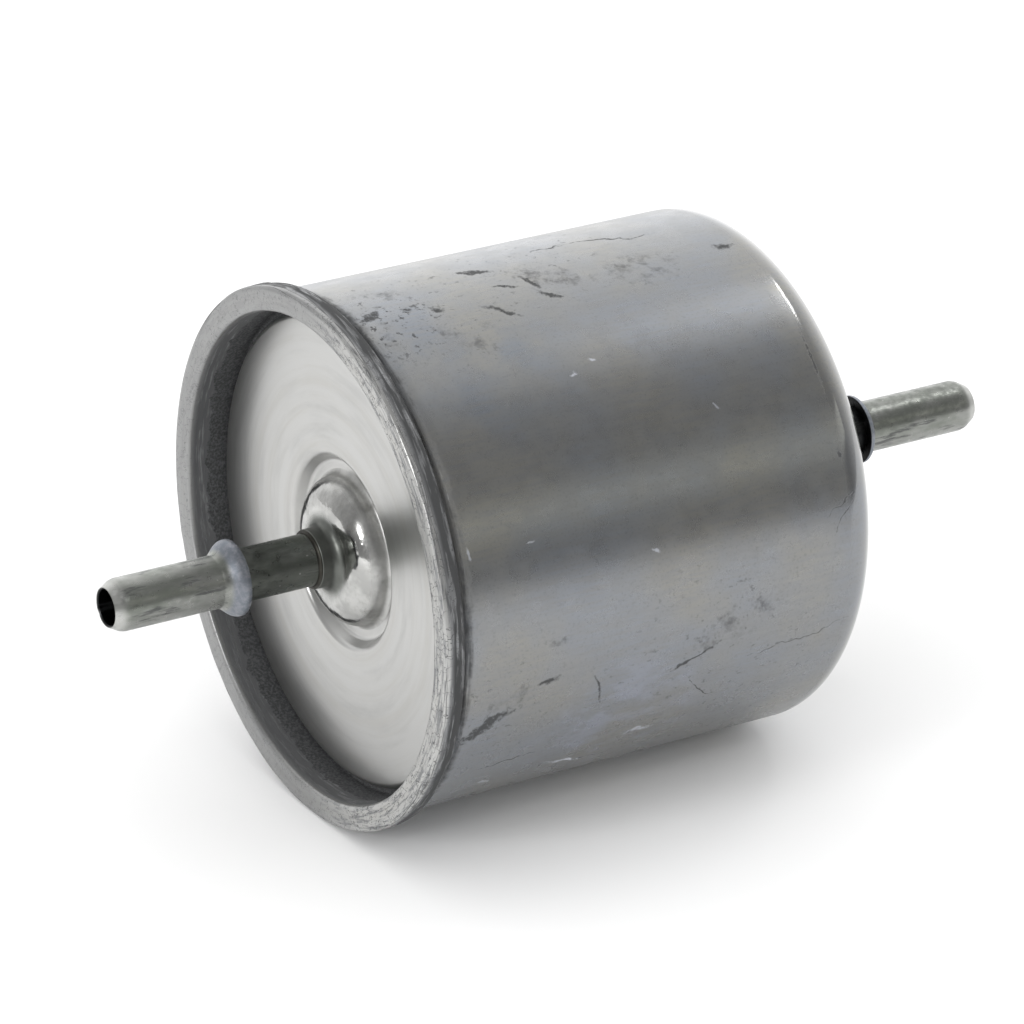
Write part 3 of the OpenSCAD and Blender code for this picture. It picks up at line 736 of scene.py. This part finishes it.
def tube_finish(c):
    """Dull drawn tube: tarnish, dark streaks along it, a worn tip lightened also as a painted highlight, a
    frosted bead, and painted shade in the bore, behind the beads and on the outlet's upper half.
    """
    material, g, shader = new_material("tube_steel")
    at = g.group(round_place())
    tarnish = g.noise(g.scaled(at["Space"], (0.35, 1.0, 1.0)), 0.4, 4.0, 0.6)
    grey = g.mix(g.step(tarnish, 0.35, 0.7), c.tube, tone(c.tube, 0.66, 0.69, 0.65))
    streaks = g.group(patches(), {"Vector": g.scaled(at["Space"], (0.16, 1.0, 1.0)), "Scale": 0.7,
                                  "Level": 0.54, "Softness": 0.1})["Mask"]
    middle = g.math("SUBTRACT", at["Along"], (INLET_X[0] + OUTLET_X[1]) / 2 / MM)
    from_tip = g.math("SUBTRACT", (OUTLET_X[1] - INLET_X[0]) / 2 / MM, g.math("ABSOLUTE", middle))
    inlet = g.math("LESS_THAN", at["Along"], 0.0)
    outlet = g.math("SUBTRACT", 1.0, inlet)
    tube_r = TUBE_R / MM
    bead = g.step(at["Radius"], tube_r + 0.2, tube_r + 0.9)
    tip = g.step(from_tip, 2.2, 0.6)
    behind = g.step(from_tip, BEAD_BACK - 0.1, BEAD_BACK + 0.2)
    # Painted shade: the tube between its bead and the boss is darker
    dark = g.math("MULTIPLY", behind, g.step(at["Radius"], BEAD_R / MM, tube_r + 0.1))
    nicks = g.group(specks(), {"Vector": at["Space"], "Scale": 0.6, "Size": 0.12, "Share": 0.3})["Mask"]
    grey = g.mix(g.math("MULTIPLY", streaks, 0.75), grey, tone(c.grime_and_shade, 2.0, 2.0, 2.0))
    mottled = g.group(patches(), {"Vector": at["Space"], "Scale": 0.8, "Level": 0.42,
                                  "Softness": 0.2})["Mask"]
    # Painted shade: the outlet's upper half is darkened in mottled patches
    top = g.step(g.add("ShaderNodeSeparateXYZ", {0: at["Space"]}).outputs[2], 0.7, 1.3)
    outlet_top_shade = g.math("MULTIPLY", g.math("MULTIPLY", outlet, g.blend(mottled, 0.35, 0.85)), top)
    grey = g.mix(g.math("MULTIPLY", outlet_top_shade, 0.8), grey, tone(c.tube, 0.42, 0.44, 0.42))
    # Darkens the tube behind the bead as painted shade
    grey = g.mix(g.math("MULTIPLY", dark, 0.55), grey, tone(c.tube, 0.32, 0.36, 0.32))
    frosted = g.noise(at["Space"], 0.9, 6.0, 0.7)
    frost = g.mix(g.step(frosted, 0.4, 0.65), (0.21, 0.23, 0.26), (0.30, 0.31, 0.34))
    grey = g.mix(bead, grey, frost)
    # Painted shade: the back of the outlet's bead and the tube behind it are coloured grime black
    outlet_back_shade = g.math("MULTIPLY", outlet, g.step(from_tip, BEAD_BACK - 0.18, BEAD_BACK - 0.06))
    grey = g.mix(outlet_back_shade, grey, c.grime_and_shade)
    # The tip is lightened for wear and as a painted highlight; the nicks are pale wear
    bright = most(g, g.math("MULTIPLY", tip, 0.45), g.math("MULTIPLY", nicks, 0.5))
    grey = g.mix(bright, grey, (0.72, 0.72, 0.7))
    # Painted shade: the inside of the bore is coloured grime black
    bore = g.step(at["Radius"], tube_r - 0.9, tube_r - 1.1)
    grey = g.mix(bore, grey, c.grime_and_shade)
    rough = g.blend(g.step(g.noise(at["Space"], 0.8, 4.0), 0.3, 0.7), 0.26, 0.42)
    height = g.math("SUBTRACT", g.noise(at["Space"], 1.6, 5.0, 0.7), g.math("MULTIPLY", streaks, 0.5))
    put(g, shader, Base_Color=grey, Roughness=g.blend(bead, rough, 0.5),
        Metallic=g.blend(streaks, 1.0, 0.6), Normal=bump(g, height, 0.4, 0.03 * MM))
    return material


def boss_finish(c):
    """Polished plating with soft ripples, stains, a neck darkened as painted shade and a satin foot."""
    material, g, shader = new_material("boss_steel")
    at = g.group(round_place())
    ripple = g.noise(at["Space"], 0.22, 3.0, 0.45)
    stain = g.group(patches(), {"Vector": at["Space"], "Scale": 0.4, "Level": 0.52,
                                "Softness": 0.2})["Mask"]
    cloud = g.step(g.noise(at["Space"], 0.3, 4.0), 0.35, 0.65)
    grey = g.mix(cloud, c.boss, tone(c.boss, 0.72, 0.72, 0.72))
    grey = g.mix(g.math("MULTIPLY", stain, 0.5), grey, tone(c.boss, 0.42, 0.41, 0.39))
    # Painted shade: the neck, where the tube enters the boss, is coloured dark
    neck = g.step(at["Radius"], TUBE_R / MM + 3.2, TUBE_R / MM + 1.2)
    grey = g.mix(g.math("MULTIPLY", neck, 0.85), grey, tone(c.tube, 0.30, 0.32, 0.30))
    foot = g.step(at["Radius"], BOSS_R / MM - 2.2, BOSS_R / MM - 0.9)
    rough = g.blend(most(g, neck, foot), g.blend(stain, 0.12, 0.26), 0.42)
    put(g, shader, Base_Color=grey, Roughness=rough, Metallic=1.0,
        Normal=bump(g, g.math("MULTIPLY", ripple, 9.0), 0.6, 0.05 * MM))
    return material


def plain_metal(name, base, spread, rough_low, rough_high):
    """Clean inner metal with slight cloudy variation and fine grain."""
    material, g, shader = new_material(name)
    at = g.group(round_place())
    cloud = g.noise(at["Space"], 0.4, 4.0)
    grain = g.noise(at["Space"], 3.0, 4.0, 0.7)
    put(g, shader, Base_Color=g.mix(g.step(cloud, 0.3, 0.7), base, tone(base, spread, spread, spread)),
        Roughness=g.blend(cloud, rough_low, rough_high), Metallic=1.0,
        Normal=bump(g, grain, 0.3, 0.01 * MM))
    return material


def paper_finish():
    """Resin-cured paper with fibres."""
    material, g, shader = new_material("filter_paper")
    at = g.group(round_place())
    fibres = g.noise(g.scaled(at["Space"], (0.6, 2.0, 2.0)), 2.0, 8.0, 0.75)
    put(g, shader, Base_Color=g.mix(fibres, (0.50, 0.36, 0.16), (0.66, 0.52, 0.27)),
        Roughness=g.blend(fibres, 0.75, 0.95), Normal=bump(g, fibres, 0.6, 0.05 * MM))
    return material


def cloth_finish():
    """Fine woven strainer: two crossing sets of threads."""
    material, g, shader = new_material("strainer_cloth")
    at = g.group(round_place())
    threads = [g.math("SINE", g.math("MULTIPLY", at[axis], 9.0)) for axis in ("Along", "Around")]
    weave = g.math("ABSOLUTE", g.math("MULTIPLY", *threads))
    put(g, shader, Base_Color=g.mix(weave, (0.30, 0.29, 0.25), (0.66, 0.64, 0.57)),
        Roughness=g.blend(weave, 0.9, 0.6), Normal=bump(g, weave, 0.7, 0.05 * MM))
    return material


def soft_finish(name, base, rough_low, rough_high, scale):
    """Cast or moulded soft material with a fine uneven skin."""
    material, g, shader = new_material(name)
    at = g.group(round_place())
    skin = g.noise(at["Space"], scale, 5.0, 0.6)
    put(g, shader, Base_Color=g.mix(skin, tone(base, 0.7, 0.7, 0.7), tone(base, 1.25, 1.25, 1.25)),
        Roughness=g.blend(skin, rough_low, rough_high), Normal=bump(g, skin, 0.5, 0.05 * MM))
    return material


# ---- Operators ----


def settings(context):
    """The sizes and colours of this scene."""
    return context.scene.filter_sizes, context.scene.filter_colours


class MakeCanister(bpy.types.Operator):
    """Turn the drawn canister"""

    bl_idname = "fuel_filter.canister"
    bl_label = "Canister"

    def execute(self, context):
        s, c = settings(context)
        piece = turn("canister_shell", canister_outline(s), s.steps)
        finish_piece(piece, "canister", canister_finish(c))
        return {"FINISHED"}


class MakeCover(bpy.types.Operator):
    """Turn the end cover and ding its seam"""

    bl_idname = "fuel_filter.cover"
    bl_label = "End cover"

    def execute(self, context):
        s, c = settings(context)
        piece = turn("cover_shell", cover_outline(s), s.steps)
        skin = 0.2 * MM
        ding(piece, s.ding_depth,
             lambda co: math.hypot(co.y, co.z) > SEAM_R - skin or co.x < CREST_X + skin)
        finish_piece(piece, "end_cover", cover_finish(c))
        return {"FINISHED"}


class MakeTubes(bpy.types.Operator):
    """Turn both beaded tubes"""

    bl_idname = "fuel_filter.tubes"
    bl_label = "Tubes"

    def execute(self, context):
        s, c = settings(context)
        material = tube_finish(c)
        ends = (("inlet_tube", *INLET_X, BEAD_R, s.bead_length),
                ("outlet_tube", *OUTLET_X[::-1], OUTLET_BEAD_R, s.outlet_bead_length))
        for node, *sizes in ends:
            piece = turn(node.replace("tube", "stub"), stub_outline(s, *sizes), s.steps // 2)
            finish_piece(piece, node, material)
        return {"FINISHED"}


class MakeBosses(bpy.types.Operator):
    """Turn both bosses and their braze fillets"""

    bl_idname = "fuel_filter.bosses"
    bl_label = "Bosses and braze"

    def execute(self, context):
        s, c = settings(context)
        polished = boss_finish(c)
        filler = plain_metal("braze", (0.062, 0.060, 0.052), 0.6, 0.35, 0.6)
        places = (("inlet", BOSS_X, s.cover_sheet, 1), ("outlet", OUTLET_BOSS_X[::-1], s.can_wall, -1))
        for side, (neck_x, inner_x), thickness, way in places:
            piece = turn(side + "_ferrule", boss_outline(s, neck_x, inner_x, thickness), s.steps)
            finish_piece(piece, side + "_boss", polished)
            piece = turn(side + "_fillet", braze_outline(neck_x, way), s.steps // 2)
            finish_piece(piece, side + "_braze_ring", filler)
        return {"FINISHED"}


class MakeSpring(bpy.types.Operator):
    """Copy the coil spring that the joint names, and give the copy its own mesh and finish"""

    bl_idname = "fuel_filter.spring"
    bl_label = "Spring"

    def execute(self, context):
        joint = frame["record"]["behaviour"]["joints"][0]
        spring = joint["deforming_nodes"][0]
        source = frame["nodes"][spring["node"]]
        bpy.ops.object.select_all(action="DESELECT")
        source.select_set(True)
        context.view_layer.objects.active = source
        bpy.ops.object.duplicate()
        coil = context.object
        coil.name = coil.data.name = "coil_spring"
        bpy.ops.object.mode_set(mode="EDIT")
        bpy.ops.mesh.select_all(action="SELECT")
        bpy.ops.mesh.remove_doubles(threshold=0.001 * MM)
        bpy.ops.object.mode_set(mode="OBJECT")
        bpy.ops.object.shade_smooth_by_angle(angle=math.radians(40))
        oiled = plain_metal("spring_steel", (0.16, 0.16, 0.17), 0.7, 0.25, 0.4)
        finish_piece(coil, spring["node"], oiled)
        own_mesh(coil)
        return {"FINISHED"}


class FinishInside(bpy.types.Operator):
    """Give the pieces inside their finishes"""

    bl_idname = "fuel_filter.inside"
    bl_label = "Inner pieces"

    def execute(self, context):
        finishes = {
            "inner_steel": plain_metal("inner_steel", (0.55, 0.55, 0.54), 0.8, 0.25, 0.4),
            "filter_paper": paper_finish(),
            "strainer_cloth": cloth_finish(),
            "adhesive": soft_finish("adhesive", (0.34, 0.12, 0.03), 0.35, 0.6, 0.5),
            "compound": soft_finish("compound", (0.02, 0.02, 0.02), 0.6, 0.8, 1.0),
            "seal_rubber": soft_finish("seal_rubber", (0.015, 0.015, 0.015), 0.45, 0.65, 2.0),
        }
        for part in frame["record"]["subparts"]:
            if part["material_slot"] in finishes:
                for slot in frame["nodes"][part["node"]].material_slots:
                    slot.material = finishes[part["material_slot"]]
        return {"FINISHED"}


class MakeStage(bpy.types.Operator):
    """Set up the floor, the studio light and the camera"""

    bl_idname = "fuel_filter.stage"
    bl_label = "Stage"

    def execute(self, context):
        _, c = settings(context)
        make_floor(c)
        make_world(context)
        make_lights(context)
        make_camera(context)
        context.scene.view_settings.view_transform = "Standard"
        return {"FINISHED"}


# ---- Stage ----

# Where the camera stands: degrees round the object and above it, and metres from the point it looks at
CAMERA_AZIMUTH, CAMERA_ELEVATION, CAMERA_DISTANCE = -30.85, 23.55, 0.8896
CAMERA_LENS = 209.0
CAMERA_AIM = (-1.55 * MM, 0.0, -0.18 * MM)
# Brightness of the plain surroundings on the floor and behind the object
PALE = 1.3
# Soft lights: degrees round and above, metres away, width, height, power in watts and colour
LIGHTS = {
    "side_strip": (33.0, 21.0, 1.2, 1.4, 0.26, 0.62, (1.0, 1.0, 0.9)),
    "shoulder_slit": (96.0, 51.0, 0.9, 0.22, 0.03, 0.5, (1.0, 1.0, 1.0)),
    "left_card": (-82.0, 17.0, 0.8, 0.12, 0.22, 2.0, (1.0, 1.0, 1.0)),
    "front_card": (0.0, 42.0, 0.8, 0.05, 0.09, 0.3, (1.0, 1.0, 1.0)),
}


def direction(azimuth, elevation):
    """Unit vector towards a place given in degrees round the object from -Y and above it."""
    a, e = math.radians(azimuth), math.radians(elevation)
    return Vector((math.sin(a) * math.cos(e), -math.cos(a) * math.cos(e), math.sin(e)))


def make_floor(c):
    """A plain pale floor that the seam and the far end of the wall both touch."""
    seam_touch, wall_touch = CREST_X + 2 * MM, END_X - 9 * MM
    lean = math.atan2(SEAM_R - WALL_R, wall_touch - seam_touch)
    bpy.ops.object.select_all(action="DESELECT")
    bpy.ops.mesh.primitive_circle_add(vertices=96, radius=0.5, fill_type="NGON", location=(0, 0, 0))
    floor = bpy.context.object
    floor.name = "floor"
    floor.rotation_euler = (0, -lean, 0)
    floor.location = (seam_touch, 0, -SEAM_R)
    material, g, shader = new_material("floor_paint")
    soft = g.noise(g.group(round_place())["Space"], 0.02, 3.0)
    put(g, shader, Base_Color=g.mix(soft, c.floor, tone(c.floor, 0.98, 0.98, 0.98)),
        Roughness=g.blend(soft, 0.75, 0.85))
    floor.data.materials.append(material)


def make_world(context):
    """Studio light from all round: bright behind the object on its left, dim in front on its right."""
    world = bpy.data.worlds.new("studio")
    context.scene.world = world
    world.use_nodes = True
    world.node_tree.nodes.clear()
    g = Graph(world.node_tree)
    look = g.add("ShaderNodeTexCoord").outputs["Generated"]
    bright = tuple(direction(150, 15))
    facing = g.add("ShaderNodeVectorMath", {0: look, 1: bright}, operation="DOT_PRODUCT").outputs["Value"]
    ramp = g.add("ShaderNodeValToRGB", {0: g.math("ADD", g.math("MULTIPLY", facing, 0.5), 0.5)})
    stops = ((0.0, 0.30), (0.44, 0.36), (0.545, 0.46), (0.71, 0.74), (0.86, 1.22), (0.96, 1.52), (1.0, 1.7))
    elements = ramp.color_ramp.elements
    while len(elements) < len(stops):
        elements.new(0.5)
    for element, (place, level) in zip(elements, stops):
        element.position = place
        element.color = (level, level, level, 1)
    mirrored = g.add("ShaderNodeLightPath").outputs["Is Glossy Ray"]
    colour_out = g.mix(mirrored, (PALE,) * 3, ramp.outputs[0])
    back = g.add("ShaderNodeBackground", {"Color": colour_out, "Strength": 1.0})
    g.add("ShaderNodeOutputWorld", {"Surface": back.outputs[0]})
    world.cycles.sampling_method = "NONE"


def make_lights(context):
    """Soft area lights that face the object."""
    for name, (azimuth, elevation, away, width, height, power, shade) in LIGHTS.items():
        data = bpy.data.lights.new(name, "AREA")
        data.shape = "RECTANGLE"
        data.size, data.size_y, data.energy, data.color = width, height, power, shade
        light = bpy.data.objects.new(name, data)
        context.scene.collection.objects.link(light)
        towards = direction(azimuth, elevation)
        light.location = towards * away
        light.rotation_euler = towards.to_track_quat("Z", "Y").to_euler()
        light.visible_camera = False


def make_camera(context):
    """The camera, level and aimed at the middle of the object."""
    data = bpy.data.cameras.new("camera")
    data.lens, data.sensor_width = CAMERA_LENS, 36.0
    data.clip_start, data.clip_end = 0.01, 50.0
    camera = bpy.data.objects.new("camera", data)
    context.scene.collection.objects.link(camera)
    towards = direction(CAMERA_AZIMUTH, CAMERA_ELEVATION)
    camera.location = Vector(CAMERA_AIM) + towards * CAMERA_DISTANCE
    camera.rotation_euler = towards.to_track_quat("Z", "Y").to_euler()
    context.scene.camera = camera


# ---- Panel and registration ----

STEPS = (MakeCanister, MakeCover, MakeTubes, MakeBosses, MakeSpring, FinishInside, MakeStage)


class FilterPanel(bpy.types.Panel):
    """The filter's steps, sizes and colours"""

    bl_idname = "VIEW3D_PT_fuel_filter"
    bl_label = "Fuel filter"
    bl_space_type = "VIEW_3D"
    bl_region_type = "UI"
    bl_category = "Fuel filter"

    def draw(self, context):
        for step in STEPS:
            self.layout.operator(step.bl_idname)
        for group in settings(context):
            for name in group.__annotations__:
                self.layout.prop(group, name)


CLASSES = (FilterSizes, FilterColours, *STEPS, FilterPanel)


def register():
    """Registers the classes and hangs the settings on the scene."""
    for cls in CLASSES:
        bpy.utils.register_class(cls)
    bpy.types.Scene.filter_sizes = bpy.props.PointerProperty(type=FilterSizes)
    bpy.types.Scene.filter_colours = bpy.props.PointerProperty(type=FilterColours)


def unregister():
    """Takes away what register adds."""
    del bpy.types.Scene.filter_colours
    del bpy.types.Scene.filter_sizes
    for cls in reversed(CLASSES):
        bpy.utils.unregister_class(cls)


def main():
    """Builds every piece and the stage."""
    register()
    for step in STEPS:
        package, name = step.bl_idname.split(".")
        getattr(getattr(bpy.ops, package), name)()


if __name__ == "__main__":
    main()
